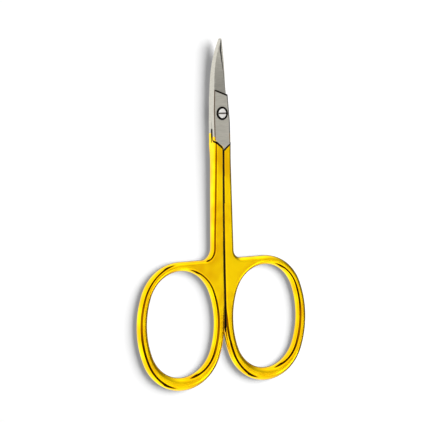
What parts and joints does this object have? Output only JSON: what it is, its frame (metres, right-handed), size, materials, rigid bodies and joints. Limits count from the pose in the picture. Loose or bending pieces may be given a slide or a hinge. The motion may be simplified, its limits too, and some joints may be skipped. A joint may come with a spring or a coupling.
{
  "type": "cuticle scissors",
  "caption": "Small cuticle scissors: gold-plated shanks with oval finger loops, a half-lap steel joint on a slotted pivot screw, and slim blades that curve up out of the plane.",
  "frame": {"origin": "middle of the closed scissors' footprint, on the plane of the handles' flat backs; the pivot axis is 25.75 mm along +Y", "axes": "+Y along the scissors to the blades' tips, +Z to the screw's head, which is also the way the blades curve, +X to the finger loop of the half that carries the screw's head"},
  "size_m": [0.0516, 0.0899, 0.0038],
  "materials": {
    "gold_plate": "polished gold plating on steel; joint flats and blades ground back to bare steel",
    "ground_steel": "satin-ground bare steel of the joint flats and the blades",
    "screw_steel": "polished steel"
  },
  "bodies": {
    "back_half": {"back_half": "gold_plate", "pivot_screw": "screw_steel"},
    "front_half": {"front_half": "gold_plate"}
  },
  "joints": [
    {"name": "blade_pivot", "type": "hinge", "parent": "back_half", "child": "front_half", "pos_m": [0, 0.02575, 0], "axis": [0, 0, 1], "range_deg": [0, 70]}
  ]
}
